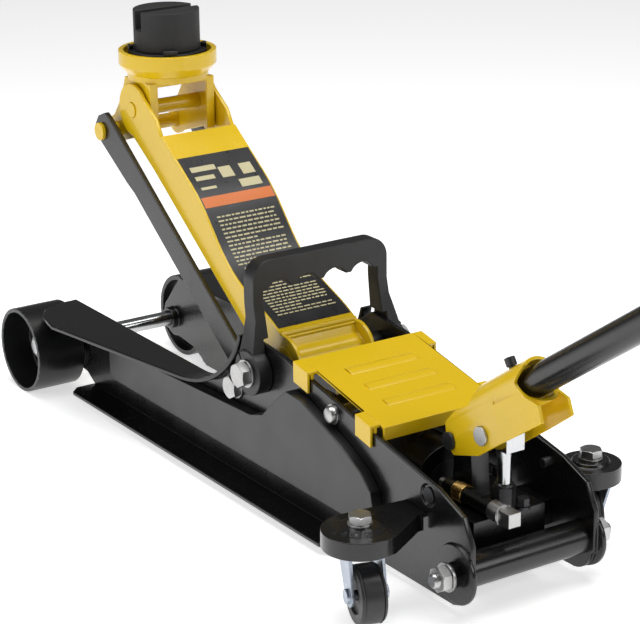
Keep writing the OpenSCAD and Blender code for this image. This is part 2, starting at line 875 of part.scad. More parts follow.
module spring_left() { spring(-1); }
module spring_right() { spring(1); }

// ---- handle socket ----

sock_half = 22;
mouth_half = 14;
pinch_s = -20;

// plan of one cheek behind the parallel part, s along the handle
module cheek_plan() {
    polygon([
        [pinch_s - 0.5, sock_half - 3], [pinch_s - 0.5, sock_half], [pinch_s, sock_half],
        [44, mouth_half], [44, mouth_half - 3], [pinch_s, sock_half - 3]
    ]);
}

module socket_hood() {
    lx = lug_x;
    lz = lug_z;
    ri = handle_d / 2 + 3;
    color("#f2c80a") difference() {
        intersection() {
            along_handle() union() {
                xcyl(ri + 3, pinch_s - 1, 48);
                translate([-110, 0, 0]) rotate([90, 0, 90]) linear_extrude(110 + pinch_s)
                    difference() {
                        union() {
                            circle(r = ri + 3);
                            polygon([
                                [-ri - 2.8, 1], [-sock_half, -14], [-sock_half, -70],
                                [sock_half, -70], [sock_half, -14], [ri + 2.8, 1]
                            ]);
                        }
                        polygon([
                            [-ri + 1, 2], [-sock_half + 3, -13], [-sock_half + 3, -71],
                            [sock_half - 3, -71], [sock_half - 3, -13], [ri - 1, 2]
                        ]);
                    }
                for (v = [0, 1]) mirror([0, v, 0])
                    translate([0, 0, -70]) linear_extrude(66) cheek_plan();
            }
            side_cut(-40, 40) polygon([
                [lx - 12, lz + 11], [lx, lz + 25], [lx + 18, lz + 35], [lx + 23, lz + 60],
                [lx + 74, lz + 93], [lx + 80, lz + 86], [lx + 76, lz + 72], [lx + 88, lz + 63],
                [lx + 103, lz + 61], [lx + 108, lz + 48], [lx + 37, lz - 1], [lx + 5, lz - 11],
                [lx - 4, lz - 4]
            ]);
        }
        ycyl(6 + 0.02, -40, 40, lx, lz);
        ycyl(6 + 0.02, -40, 40, lx + throw_x, lz + throw_z);
        along_handle() translate([-6, 0, 0]) cylinder(r = 3 + e, h = 40);
        along_handle() xcyl(ri, -120, 60);
    }
}

module socket_sleeve() {
    color("#e0b70c") along_handle() difference() {
        xcyl(handle_d / 2 + 3, sock_back, 10);
        xcyl(handle_d / 2 + e, sock_back - 1, 11);
        translate([-6, 0, 0]) cylinder(r = 3 + e, h = 40);
    }
}

module socket_pin() {
    color("#4a4d51") union() {
        ycyl(6, -sock_half - 1, sock_half + 1, lug_x, lug_z);
        ycyl(7.5, sock_half, sock_half + 2.4, lug_x, lug_z);
        ycyl(7.5, -sock_half - 2.4, -sock_half, lug_x, lug_z);
    }
}

module pump_pin() {
    color("#b9bcc0") union() {
        ycyl(6, -sock_half - 1, sock_half + 1, lug_x + throw_x, lug_z + throw_z);
        ycyl(8, sock_half, sock_half + 2.6, lug_x + throw_x, lug_z + throw_z);
        ycyl(8, -sock_half - 2.6, -sock_half, lug_x + throw_x, lug_z + throw_z);
    }
}

module handle_tube() {
    color("#141516") along_handle() difference() {
        xcyl(handle_d / 2, sock_back + 2, handle_len - 4);
        xcyl(handle_d / 2 - 2, sock_back, handle_len - 20);
    }
}

module handle_grip() {
    color("#202021") along_handle() difference() {
        union() {
            xcyl(grip_r, handle_len - grip_len, handle_len - 2);
            translate([handle_len - 2, 0, 0]) rotate([0, 90, 0])
                cylinder(r1 = grip_r, r2 = grip_r - 2, h = 2);
        }
        xcyl(handle_d / 2 + 0.02, handle_len - grip_len - 1, handle_len - 4);
    }
}

module lock_screw() {
    r = handle_d / 2;
    color("#1b1b1c") along_handle() translate([-6, 0, 0]) union() {
        translate([0, 0, r + 0.3]) cylinder(r = 3, h = 10);
        translate([0, 0, r + 7.5]) cylinder(r = 4.5, h = 7);
    }
}

// ---- the assembly ----

module placed() { translate([shift, side_shift, 0]) children(); }

placed() side_plate_left();
placed() side_plate_right();
placed() side_panel_left();
placed() side_panel_right();
placed() front_axle();
placed() axle_nut_left();
placed() axle_nut_right();
placed() pivot_shaft();
placed() pivot_bolt_left();
placed() pivot_bolt_right();
placed() link_bolt_left();
placed() link_bolt_right();
placed() tie_rod();
placed() rear_tube();
placed() rear_bolt_left();
placed() rear_bolt_right();
placed() cover_plate();
placed() power_block();
placed() reservoir();
placed() cylinder_node();  // cylinder
placed() pump_gland();
placed() pump_lug();
placed() release_sleeve();
placed() side_screw_left();
placed() side_screw_right();
placed() caster_bracket_left();
placed() caster_bracket_right();
placed() king_bolt_left();
placed() king_bolt_right();
placed() carry_handle();
placed() lift_arm();
placed() carrier_pin();
placed() crank_pin();
placed() link_left();
placed() link_right();
placed() link_pin();
placed() saddle_carrier();
placed() saddle();
placed() rubber_pad();
placed() ram();
placed() crosshead();
placed() spring_left();
placed() spring_right();
placed() socket_hood();
placed() socket_sleeve();
placed() socket_pin();
placed() pump_pin();
placed() handle_tube();
placed() handle_grip();
placed() lock_screw();
placed() pump_plunger();
placed() release_spindle();
placed() wheel_left();
placed() wheel_right();
placed() caster_fork_left();
placed() caster_fork_right();
placed() caster_wheel_left();
placed() caster_wheel_right();
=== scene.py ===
import json
import math
import random

import bmesh
import bpy
from mathutils import Matrix, Vector
from mathutils.bvhtree import BVHTree

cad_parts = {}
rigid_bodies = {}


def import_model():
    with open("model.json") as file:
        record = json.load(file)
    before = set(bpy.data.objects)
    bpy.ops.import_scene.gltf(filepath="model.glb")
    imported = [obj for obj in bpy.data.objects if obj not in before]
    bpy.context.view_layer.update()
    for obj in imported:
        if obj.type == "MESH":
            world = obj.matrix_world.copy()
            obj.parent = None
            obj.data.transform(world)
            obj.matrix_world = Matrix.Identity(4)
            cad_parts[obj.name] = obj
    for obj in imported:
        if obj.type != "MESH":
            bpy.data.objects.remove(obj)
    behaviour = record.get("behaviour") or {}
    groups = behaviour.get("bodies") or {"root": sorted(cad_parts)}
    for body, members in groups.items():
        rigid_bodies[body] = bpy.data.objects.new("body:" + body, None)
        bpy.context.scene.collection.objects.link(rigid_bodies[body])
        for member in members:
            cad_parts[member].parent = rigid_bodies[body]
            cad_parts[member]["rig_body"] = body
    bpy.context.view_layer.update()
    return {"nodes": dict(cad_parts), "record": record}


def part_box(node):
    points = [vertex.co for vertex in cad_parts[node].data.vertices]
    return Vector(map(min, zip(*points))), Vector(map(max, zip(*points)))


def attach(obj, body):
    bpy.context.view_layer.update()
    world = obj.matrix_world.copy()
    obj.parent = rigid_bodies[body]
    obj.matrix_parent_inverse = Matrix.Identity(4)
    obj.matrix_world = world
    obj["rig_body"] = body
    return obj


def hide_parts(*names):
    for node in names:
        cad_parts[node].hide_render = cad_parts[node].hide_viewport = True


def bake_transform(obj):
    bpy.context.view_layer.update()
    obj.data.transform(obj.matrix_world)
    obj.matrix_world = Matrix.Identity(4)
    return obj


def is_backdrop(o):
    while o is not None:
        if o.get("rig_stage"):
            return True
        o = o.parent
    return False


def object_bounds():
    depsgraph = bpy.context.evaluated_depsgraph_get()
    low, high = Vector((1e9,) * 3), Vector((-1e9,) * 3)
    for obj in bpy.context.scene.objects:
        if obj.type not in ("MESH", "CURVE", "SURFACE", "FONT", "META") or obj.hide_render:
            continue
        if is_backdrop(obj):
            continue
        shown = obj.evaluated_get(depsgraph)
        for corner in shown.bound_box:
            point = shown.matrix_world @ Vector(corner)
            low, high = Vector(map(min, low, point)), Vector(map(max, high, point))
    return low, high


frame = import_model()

mm = 0.001
X, Y, Z = Vector((1, 0, 0)), Vector((0, 1, 0)), Vector((0, 0, 1))


# ---------------------------------------------------------------- studio
# A pale seamless floor, three soft boxes and a bright room. A long lens looks down on
# the jack's rear left corner. None of this belongs to the jack.
def aim(thing, place, target):
    thing.location = place
    thing.rotation_euler = (Vector(target) - Vector(place)).to_track_quat("-Z", "Y").to_euler()


def soft_box(name, place, target, width, height, watts):
    data = bpy.data.lights.new(name, "AREA")
    data.shape = "RECTANGLE"
    data.size, data.size_y, data.energy = width, height, watts
    lamp = bpy.data.objects.new(name, data)
    bpy.context.scene.collection.objects.link(lamp)
    aim(lamp, place, target)


lens = bpy.data.cameras.new("camera")
lens.lens, lens.sensor_width, lens.clip_end = 129.47, 36, 30
camera = bpy.data.objects.new("camera", lens)
azimuth, elevation, roll = math.radians(56.62), math.radians(18.82), math.radians(-0.7)
back = Vector((
    math.sin(azimuth) * math.cos(elevation),
    -math.cos(azimuth) * math.cos(elevation),
    math.sin(elevation),
))
level = Vector((math.cos(azimuth), math.sin(azimuth), 0))
rise = back.cross(level)
across = math.cos(roll) * level + math.sin(roll) * rise
upward = -math.sin(roll) * level + math.cos(roll) * rise
camera.matrix_world = (
    Matrix.Translation((1.44033, -1.03883, 0.80953))
    @ Matrix((across, upward, back)).transposed().to_4x4()
)
bpy.context.scene.collection.objects.link(camera)
bpy.context.scene.camera = camera
bpy.context.scene.view_settings.view_transform = "Standard"

soft_box("overhead", (-0.1, 0.1, 1.9), (0, 0, 0.1), 2.0, 1.2, 30)
soft_box("left_wall", (-0.5, -2.0, 1.0), (0, 0, 0.15), 1.6, 0.8, 13)
soft_box("rear_wall", (1.9, 0.9, 1.2), (0.1, 0, 0.15), 1.0, 1.0, 11)

floor_mesh = bpy.data.meshes.new("floor")
sweep = bmesh.new()
bmesh.ops.create_grid(sweep, x_segments=1, y_segments=1, size=12)
sweep.to_mesh(floor_mesh)
sweep.free()
floor = bpy.data.objects.new("floor", floor_mesh)
bpy.context.scene.collection.objects.link(floor)
paper = bpy.data.materials.new("paper_floor")
paper.use_nodes = True
paper.node_tree.nodes["Principled BSDF"].inputs["Base Color"].default_value = (0.93, 0.93, 0.93, 1)
paper.node_tree.nodes["Principled BSDF"].inputs["Roughness"].default_value = 0.6
paper.node_tree.nodes["Principled BSDF"].inputs["Emission Color"].default_value = (1, 1, 1, 1)
paper.node_tree.nodes["Principled BSDF"].inputs["Emission Strength"].default_value = 0.6
floor_mesh.materials.append(paper)
floor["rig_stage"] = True

room = bpy.data.worlds.new("room")
room.use_nodes = True
room.node_tree.nodes["Background"].inputs["Color"].default_value = (1, 1, 1, 1)
# The backdrop itself is white; what lights and reflects in the jack is dimmer.
rays = room.node_tree.nodes.new("ShaderNodeLightPath")
dimmer = room.node_tree.nodes.new("ShaderNodeMath")
dimmer.operation = "MULTIPLY_ADD"
dimmer.inputs[1].default_value, dimmer.inputs[2].default_value = 0.88, 0.12
room.node_tree.links.new(rays.outputs["Is Camera Ray"], dimmer.inputs[0])
room.node_tree.links.new(dimmer.outputs["Value"], room.node_tree.nodes["Background"].inputs["Strength"])
bpy.context.scene.world = room


# ---------------------------------------------------------------- side plates
# Two 5 mm steel sheets, laser cut and pressed, with a flange over each front wheel and
# another along the foot. They are powder coated gloss black, which rounds every edge.
def centre(node):
    low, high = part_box(node)
    return (low + high) / 2


def shader_group(name, inputs, outputs):
    """An empty node group with these inputs {name: default} and outputs [name]."""
    group = bpy.data.node_groups.new(name, "ShaderNodeTree")
    for label, value in inputs.items():
        kind = "NodeSocketFloat" if isinstance(value, (int, float)) else "NodeSocketColor"
        socket = group.interface.new_socket(label, in_out="INPUT", socket_type=kind)
        socket.default_value = value
    for label in outputs:
        kind = "NodeSocketColor" if label == "Colour" else "NodeSocketFloat"
        group.interface.new_socket(label, in_out="OUTPUT", socket_type=kind)
    return group, group.nodes.new("NodeGroupInput"), group.nodes.new("NodeGroupOutput")


def noise(tree, scale, detail=3.0, stretch=None):
    """The 0 to 1 output of a noise that is fixed to the object's own space."""
    place = tree.nodes.new("ShaderNodeTexCoord").outputs["Object"]
    if stretch:
        mapping = tree.nodes.new("ShaderNodeMapping")
        mapping.inputs["Scale"].default_value = stretch
        tree.links.new(place, mapping.inputs["Vector"])
        place = mapping.outputs["Vector"]
    cloud = tree.nodes.new("ShaderNodeTexNoise")
    cloud.inputs["Detail"].default_value = detail
    if isinstance(scale, (int, float)):
        cloud.inputs["Scale"].default_value = scale
    else:
        tree.links.new(scale, cloud.inputs["Scale"])
    tree.links.new(place, cloud.inputs["Vector"])
    return cloud.outputs["Fac"]


def sum_up(tree, operation, *terms, clamp=False):
    node = tree.nodes.new("ShaderNodeMath")
    node.operation, node.use_clamp = operation, clamp
    for socket, term in zip(node.inputs, terms):
        if isinstance(term, (int, float)):
            socket.default_value = term
        else:
            tree.links.new(term, socket)
    return node.outputs["Value"]


def blend_colours(tree, share, first, second):
    mix = tree.nodes.new("ShaderNodeMix")
    mix.data_type = "RGBA"
    for index, term in ((0, share), (6, first), (7, second)):
        if isinstance(term, (int, float, tuple)):
            mix.inputs[index].default_value = term
        else:
            tree.links.new(term, mix.inputs[index])
    return mix.outputs[2]


def coat_group():
    """Sprayed paint: soft random tone drift, orange peel, and bare specks on rounded edges that are partly
    worn paint and partly a painted highlight.
    """
    group, take, give = shader_group(
        "sprayed_coat",
        {"Paint": (0.5, 0.5, 0.5, 1), "Bare": (0.5, 0.5, 0.5, 1), "Gloss": 0.3,
         "Drift": 0.1, "Wear": 0.3, "Peel": 700.0},
        ["Colour", "Roughness", "Metallic", "Height"],
    )
    tone = noise(group, 9.0, 4.0)
    rub = noise(group, 190.0, 5.0)
    edge = group.nodes.new("ShaderNodeAttribute")
    edge.attribute_name = "rounded_edge"
    # Specks on the rounded edges take the bare steel colour: partly worn paint, partly a painted highlight
    # along the edges.
    level = sum_up(group, "SUBTRACT", 0.92, take.outputs["Wear"])
    scuff_and_highlight = sum_up(group, "MULTIPLY", edge.outputs["Fac"], sum_up(group, "GREATER_THAN", rub, level))
    darker = blend_colours(group, 0.45, take.outputs["Paint"], (0.0, 0.0, 0.0, 1))
    shaded = blend_colours(group, sum_up(group, "MULTIPLY", tone, take.outputs["Drift"]),
                           take.outputs["Paint"], darker)
    colour = blend_colours(group, sum_up(group, "MULTIPLY", scuff_and_highlight, 0.55), shaded, take.outputs["Bare"])
    rough = sum_up(group, "MULTIPLY_ADD", sum_up(group, "SUBTRACT", noise(group, 34.0, 5.0), 0.5), 0.22,
                   take.outputs["Gloss"])
    group.links.new(colour, give.inputs["Colour"])
    group.links.new(sum_up(group, "MULTIPLY_ADD", scuff_and_highlight, 0.12, rough), give.inputs["Roughness"])
    group.links.new(sum_up(group, "MULTIPLY", scuff_and_highlight, 0.5), give.inputs["Metallic"])
    group.links.new(noise(group, take.outputs["Peel"], 2.0), give.inputs["Height"])
    return group


def wire_in(name, group, values, bump, bump_reach=0.0002, **constants):
    """A material: one Principled shader fed by a group, with its constants on its own sockets."""
    material = bpy.data.materials.new(name)
    material.use_nodes = True
    tree = material.node_tree
    shader = tree.nodes["Principled BSDF"]
    for label, value in constants.items():
        shader.inputs[label.replace("_", " ")].default_value = value
    skin = tree.nodes.new("ShaderNodeGroup")
    skin.node_tree = group
    for label, value in values.items():
        skin.inputs[label].default_value = value
    relief = tree.nodes.new("ShaderNodeBump")
    relief.inputs["Strength"].default_value = bump
    relief.inputs["Distance"].default_value = bump_reach
    tree.links.new(skin.outputs["Height"], relief.inputs["Height"])
    tree.links.new(relief.outputs["Normal"], shader.inputs["Normal"])
    tree.links.new(skin.outputs["Colour"], shader.inputs["Base Color"])
    tree.links.new(skin.outputs["Roughness"], shader.inputs["Roughness"])
    if "Metallic" in skin.outputs:
        tree.links.new(skin.outputs["Metallic"], shader.inputs["Metallic"])
    return material


sprayed = coat_group()
black_gloss = wire_in(
    "black_gloss", sprayed,
    {"Paint": (0.0035, 0.0036, 0.004, 1), "Bare": (0.12, 0.12, 0.125, 1), "Gloss": 0.26, "Drift": 0.5,
     "Wear": 0.24, "Peel": 620.0},
    0.12, Coat_Weight=0.2, Coat_Roughness=0.12,
)
slot_of = {part["node"]: part["material_slot"] for part in frame["record"]["subparts"]}
body_of = {node: thing["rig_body"] for node, thing in frame["nodes"].items()}


def shown(name, bm, body, slot, finish, *nodes, corner=34):
    """Makes the finished bmesh a piece of the jack, in place of the named nodes."""
    mesh = bpy.data.meshes.new(name)
    bm.to_mesh(mesh)
    bm.free()
    mesh.shade_smooth()
    mesh.set_sharp_from_angle(angle=math.radians(corner))
    mesh.materials.append(finish)
    piece = bpy.data.objects.new(name, mesh)
    bpy.context.scene.collection.objects.link(piece)
    weights = piece.modifiers.new("weights", "WEIGHTED_NORMAL")
    weights.keep_sharp = True
    if body:
        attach(piece, body)
    if nodes:
        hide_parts(*nodes)
    return piece


def copied(node):
    """The node's own shape with its loose triangles joined and its flat faces whole."""
    bm = bmesh.new()
    bm.from_mesh(frame["nodes"][node].data)
    bmesh.ops.remove_doubles(bm, verts=bm.verts, dist=0.004 * mm)
    bmesh.ops.dissolve_limit(bm, angle_limit=math.radians(0.6), verts=bm.verts, edges=bm.edges)
    return bm


def rounded(bm, width, steps=2, corner=32):
    """Rounds every sharp edge and marks the new faces for the edge wear and the painted edge highlights."""
    mark = bm.faces.layers.float.new("rounded_edge")
    sharp = [
        edge for edge in bm.edges
        if len(edge.link_faces) == 2 and edge.calc_face_angle() > math.radians(corner)
    ]
    made = bmesh.ops.bevel(
        bm, geom=sharp, offset=width, offset_type="OFFSET", segments=steps, profile=0.5,
        affect="EDGES", clamp_overlap=False, material=-1,
    )
    for face in made["faces"]:
        face[mark] = 1.0
    return bm


def softened(node, width, finish, steps=2):
    return shown(node + "_finished", rounded(copied(node), width, steps), body_of[node], slot_of[node],
                 finish, node)


for side in ("left", "right"):
    softened(f"side_plate_{side}", 1.1 * mm, black_gloss)


# ---------------------------------------------------------------- side panels
# Dark grey pressed sheets that stand a little off the plates behind the front wheels.
# Their rims are folded over, and one dark screw holds each of them at the rear.
panel_grey = wire_in(
    "panel_grey", sprayed,
    {"Paint": (0.009, 0.0095, 0.0105, 1), "Bare": (0.2, 0.2, 0.21, 1), "Gloss": 0.36, "Drift": 0.4,
     "Wear": 0.2, "Peel": 900.0},
    0.2, Coat_Weight=0.1, Coat_Roughness=0.2,
)


def metal_group():
    """Unplated or plated steel: cloudy tint, dull spots, fine grain and a painted highlight that brightens
    the rounded edges.
    """
    group, take, give = shader_group(
        "metal_skin",
        {"Tint": (0.6, 0.6, 0.6, 1), "Stain": (0.3, 0.3, 0.3, 1), "Gloss": 0.3, "Spread": 0.4,
         "Grain": 900.0},
        ["Colour", "Roughness", "Height"],
    )
    cloud = noise(group, 38.0, 4.0)
    spots = sum_up(group, "GREATER_THAN", noise(group, 310.0, 3.0), 0.66)
    cloudy = sum_up(group, "MULTIPLY", cloud, take.outputs["Spread"])
    share = sum_up(group, "MULTIPLY_ADD", spots, 0.3, cloudy, clamp=True)
    colour = blend_colours(group, share, take.outputs["Tint"], take.outputs["Stain"])
    # Painted highlight: the rounded edges are lightened back towards the plain tint.
    edge = group.nodes.new("ShaderNodeAttribute")
    edge.attribute_name = "rounded_edge"
    colour = blend_colours(group, sum_up(group, "MULTIPLY", edge.outputs["Fac"], 0.35), colour,
                           take.outputs["Tint"])
    swing = sum_up(group, "SUBTRACT", noise(group, 120.0, 4.0), 0.5)
    group.links.new(colour, give.inputs["Colour"])
    rough = sum_up(group, "MULTIPLY_ADD", swing, 0.3, take.outputs["Gloss"])
    group.links.new(rough, give.inputs["Roughness"])
    group.links.new(noise(group, take.outputs["Grain"], 3.0), give.inputs["Height"])
    return group


metal = metal_group()
dark_steel = wire_in(
    "dark_steel", metal,
    {"Tint": (0.075, 0.076, 0.08, 1), "Stain": (0.02, 0.02, 0.021, 1), "Gloss": 0.42, "Spread": 0.6},
    0.15, Metallic=0.85,
)
bright_zinc = wire_in(
    "bright_zinc", metal,
    {"Tint": (0.56, 0.56, 0.56, 1), "Stain": (0.24, 0.235, 0.225, 1), "Gloss": 0.34, "Spread": 0.55},
    0.12, Metallic=1.0,
)
for side in ("left", "right"):
    softened(f"side_panel_{side}", 1.0 * mm, panel_grey)
    softened(f"side_screw_{side}", 0.3 * mm, dark_steel)


# ---------------------------------------------------------------- front axle and wheels
# A chromed axle through both plates carries two cast wheels with dished faces. Each is
# kept on by a washer and a zinc nut; the wheels are satin black, their rubbed rims partly a painted
# highlight.
mid = centre("pivot_shaft").y
plate_face = 64


def turned(profile, middle, axis, steps=48):
    """Revolves (distance along the axis, radius) points about the axis through middle."""
    bm = bmesh.new()
    aside = Vector((-axis.z, 0, axis.x)) if abs(axis.y) < 0.5 else X.copy()
    ring = [bm.verts.new(middle + axis * along + aside * radius) for along, radius in profile]
    line = [bm.edges.new(pair) for pair in zip(ring, ring[1:])]
    bmesh.ops.spin(bm, geom=ring + line, cent=middle, axis=axis, angle=math.tau, steps=steps,
                   use_merge=True)
    bmesh.ops.remove_doubles(bm, verts=bm.verts, dist=0.002 * mm)
    bmesh.ops.holes_fill(bm, edges=[edge for edge in bm.edges if edge.is_boundary], sides=0)
    bmesh.ops.recalc_face_normals(bm, faces=bm.faces)
    return bm


def hexagon(middle, axis, across, start, end):
    """A hexagon with both ends turned to a 30 degree chamfer."""
    bm = bmesh.new()
    turn = axis.to_track_quat("Z", "Y").to_matrix().to_4x4()
    bmesh.ops.create_cone(
        bm, cap_ends=True, segments=6, radius1=across / math.sqrt(3), radius2=across / math.sqrt(3),
        depth=end - start, matrix=Matrix.Translation(middle + axis * (start + end) / 2) @ turn,
    )
    for way, level in ((1, end), (-1, start)):
        for step in range(24):
            angle = math.tau * step / 24
            outward = turn.to_3x3() @ Vector((math.cos(angle), math.sin(angle), 0))
            cut = bmesh.ops.bisect_plane(
                bm, geom=bm.verts[:] + bm.edges[:] + bm.faces[:],
                plane_co=middle + axis * level + outward * across * 0.475,
                plane_no=outward * 0.5 + axis * way * 0.866, clear_outer=True,
            )
            edges = [item for item in cut["geom_cut"] if isinstance(item, bmesh.types.BMEdge)]
            if edges:
                bmesh.ops.holes_fill(bm, edges=edges, sides=0)
    bmesh.ops.recalc_face_normals(bm, faces=bm.faces)
    return bm


def joined(*parts):
    """One bmesh out of several; the later ones are used up."""
    whole = parts[0]
    for part in parts[1:]:
        spare = bpy.data.meshes.new("spare")
        part.to_mesh(spare)
        part.free()
        whole.from_mesh(spare)
        bpy.data.meshes.remove(spare)
    return whole


def disc(middle, axis, radius, start, end, soft=0.35 * mm, steps=48):
    """A washer, collar or plain rod with softened rims."""
    return turned(
        [(start, 0), (start, radius - soft), (start + soft * 0.3, radius - soft * 0.3),
         (start + soft, radius), (end - soft, radius), (end - soft * 0.3, radius - soft * 0.3),
         (end, radius - soft), (end, 0)],
        middle, axis, steps,
    )


def thread(middle, axis, radius, start, end, pitch=1.4 * mm):
    """A threaded end: shallow grooves all round and a chamfered tip."""
    turns = max(1, int((end - start - 1.2 * mm) / pitch))
    profile = [(start, 0)]
    for step in range(turns):
        at = start + step * pitch
        profile += [(at, radius - 0.55 * mm), (at + pitch * 0.5, radius)]
    profile += [(end - 1.1 * mm, radius - 0.4 * mm), (end, radius - 1.4 * mm), (end, 0)]
    return turned(profile, middle, axis, 32)


def bolted(node, parts, finish):
    """Replaces a cross bolt or nut: parts are (kind, size, from, to) in mm out from the middle."""
    middle = centre(node)
    axis = Y if middle.y > mid else -Y
    middle = Vector((middle.x, mid, middle.z))
    made = []
    for kind, size, start, end in parts:
        make = {"disc": disc, "nut": hexagon, "thread": thread}[kind]
        made.append(make(middle, axis, size * mm, start * mm, end * mm))
    return shown(node + "_finished", joined(*made), body_of[node], slot_of[node], finish, node)


chrome = wire_in(
    "chrome", metal,
    {"Tint": (0.6, 0.61, 0.62, 1), "Stain": (0.33, 0.33, 0.34, 1), "Gloss": 0.16, "Spread": 0.3},
    0.04, Metallic=1.0,
)
wheel_black = wire_in(
    "wheel_black", sprayed,
    {"Paint": (0.0085, 0.0087, 0.0095, 1), "Bare": (0.16, 0.165, 0.17, 1), "Gloss": 0.34, "Drift": 0.5,
     "Wear": 0.42, "Peel": 800.0},
    0.25, Coat_Weight=0.1, Coat_Roughness=0.25,
)
softened("front_axle", 0.5 * mm, chrome)
for side in ("left", "right"):
    softened(f"wheel_{side}", 0.8 * mm, wheel_black)
    low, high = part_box(f"axle_nut_{side}")
    near = min(abs(low.y - mid), abs(high.y - mid)) / mm
    bolted(f"axle_nut_{side}", [("disc", 13, near, near + 2.4), ("nut", 21, near + 2.4, near + 11.6)],
           bright_zinc)


# ---------------------------------------------------------------- cross bolts and rear tube
# Zinc plated bolts with chamfered hexagons and turned threads hold the plates together.
# A painted spacer tube runs between the plates at the rear, a domed rod across the top.
softened("pivot_shaft", 0.3 * mm, dark_steel)
softened("rear_tube", 0.3 * mm, black_gloss)
for side in ("left", "right"):
    bolted(f"pivot_bolt_{side}", [
        ("disc", 6, plate_face - 20, plate_face + 15), ("disc", 12.5, plate_face + 14.3, plate_face + 16.3),
        ("nut", 20, plate_face + 16.3, plate_face + 25)], bright_zinc)
    bolted(f"link_bolt_{side}", [
        ("disc", 7, plate_face - 21, plate_face + 2), ("disc", 11, plate_face - 21.6, plate_face - 18.4),
        ("disc", 11, plate_face - 12.6, plate_face - 5), ("disc", 11.5, plate_face, plate_face + 1.8),
        ("nut", 19, plate_face + 1.8, plate_face + 9)], bright_zinc)
    bolted(f"rear_bolt_{side}", [
        ("disc", 6, plate_face - 35, plate_face + 6), ("disc", 12, plate_face + 9, plate_face + 11.4),
        ("nut", 19, plate_face + 11.4, plate_face + 20),
        ("thread", 6, plate_face + 19, plate_face + 25)], bright_zinc)
    way = 1 if side == "right" else -1
    spot = centre(f"rear_bolt_{side}")
    spacer = disc(Vector((spot.x, mid, spot.z)), Y * way, 10.5 * mm, (plate_face + 3) * mm,
                  (plate_face + 9) * mm)
    shown(f"rear_spacer_{side}", spacer, "chassis", "black_paint", black_gloss)
rod = centre("tie_rod")
dome = [(64.0, 0), (64.0, 8.6), (65.6, 8.6), (65.6, 7.6), (68.2, 7.5), (70.0, 6.2), (70.8, 4.0), (71.0, 0)]
heads = [
    turned([(along * mm, radius * mm) for along, radius in dome], rod, Y * way) for way in (-1, 1)
]
shown("tie_rod_finished", joined(disc(rod, Y, 6 * mm, -66 * mm, 66 * mm), *heads), "chassis",
      slot_of["tie_rod"], bright_zinc, "tie_rod")


# ---------------------------------------------------------------- carry handle
# A moulded nylon bridge over the pivot with finger scallops under its bar. Its feet sit
# on the plates under the pivot bolts, and the surface has a fine eroded grain.
def moulded_group():
    """Moulded plastic or rubber: eroded grain, faint dust in the hollows, and a painted highlight that
    pales the rounded edges.
    """
    group, take, give = shader_group(
        "moulded_skin",
        {"Tint": (0.02, 0.02, 0.02, 1), "Dust": (0.1, 0.1, 0.1, 1), "Gloss": 0.5, "Spread": 0.2,
         "Grain": 1500.0},
        ["Colour", "Roughness", "Height"],
    )
    dusty = sum_up(group, "MULTIPLY", noise(group, 26.0, 5.0), take.outputs["Spread"])
    edge = group.nodes.new("ShaderNodeAttribute")
    edge.attribute_name = "rounded_edge"
    # The dust colour also goes onto the rounded edges as a painted highlight.
    share = sum_up(group, "MULTIPLY_ADD", edge.outputs["Fac"], 0.12, dusty, clamp=True)
    group.links.new(blend_colours(group, share, take.outputs["Tint"], take.outputs["Dust"]),
                    give.inputs["Colour"])
    swing = sum_up(group, "SUBTRACT", noise(group, 60.0, 4.0), 0.5)
    rough = sum_up(group, "MULTIPLY_ADD", swing, 0.25, take.outputs["Gloss"])
    group.links.new(rough, give.inputs["Roughness"])
    group.links.new(noise(group, take.outputs["Grain"], 4.0), give.inputs["Height"])
    return group


moulded = moulded_group()
black_plastic = wire_in(
    "black_plastic", moulded,
    {"Tint": (0.006, 0.006, 0.0065, 1), "Dust": (0.035, 0.035, 0.036, 1), "Gloss": 0.42, "Spread": 0.2},
    0.35, 0.0003,
)
softened("carry_handle", 1.0 * mm, black_plastic)


# ---------------------------------------------------------------- lift arm
# Two cheeks and a folded back sheet welded into one channel, sprayed gloss yellow. A
# rolled lip closes the lower end of the back and a printed foil is stuck over the rest.
yellow_gloss = wire_in(
    "yellow_gloss", sprayed,
    {"Paint": (0.83, 0.55, 0.006, 1), "Bare": (0.5, 0.33, 0.03, 1), "Gloss": 0.24, "Drift": 0.28,
     "Wear": 0.2, "Peel": 520.0},
    0.14, Coat_Weight=0.3, Coat_Roughness=0.1,
)
softened("lift_arm", 1.0 * mm, yellow_gloss)
softened("carrier_pin", 0.4 * mm, yellow_gloss)
softened("crank_pin", 0.3 * mm, dark_steel)

pivot = centre("pivot_shaft")
pin = centre("carrier_pin")
climb = math.atan2(pin.z - pivot.z, pivot.x - pin.x)
uphill = Vector((-math.cos(climb), 0, math.sin(climb)))
off_back = Vector((math.sin(climb), 0, math.cos(climb)))
arm_faces = BVHTree.FromBMesh(copied("lift_arm"))


def on_back(along, side, lift):
    """The point of the arm's back at these distances from the pivot and the middle."""
    start = Vector((pivot.x, mid, pivot.z)) + uphill * along + Y * side + off_back * 140 * mm
    hit = arm_faces.ray_cast(start, -off_back)[0]
    return (hit if hit else start - off_back * 110 * mm) + off_back * lift


def laid(name, patches, lift, finish, slot):
    """A foil of flat patches (along, side, length, width) in mm, pressed onto the arm's back."""
    bm = bmesh.new()
    for along, side, length, width in patches:
        fine = 40 if length > 50 else 2
        made = bmesh.ops.create_grid(bm, x_segments=fine, y_segments=12 if width > 40 else 2, size=0.5)
        for vert in made["verts"]:
            vert.co = on_back((along + vert.co.x * length) * mm, (side + vert.co.y * width) * mm, lift)
    bmesh.ops.solidify(bm, geom=bm.faces[:], thickness=0.12 * mm)
    bmesh.ops.recalc_face_normals(bm, faces=bm.faces)
    return shown(name, bm, "arm", slot, finish)


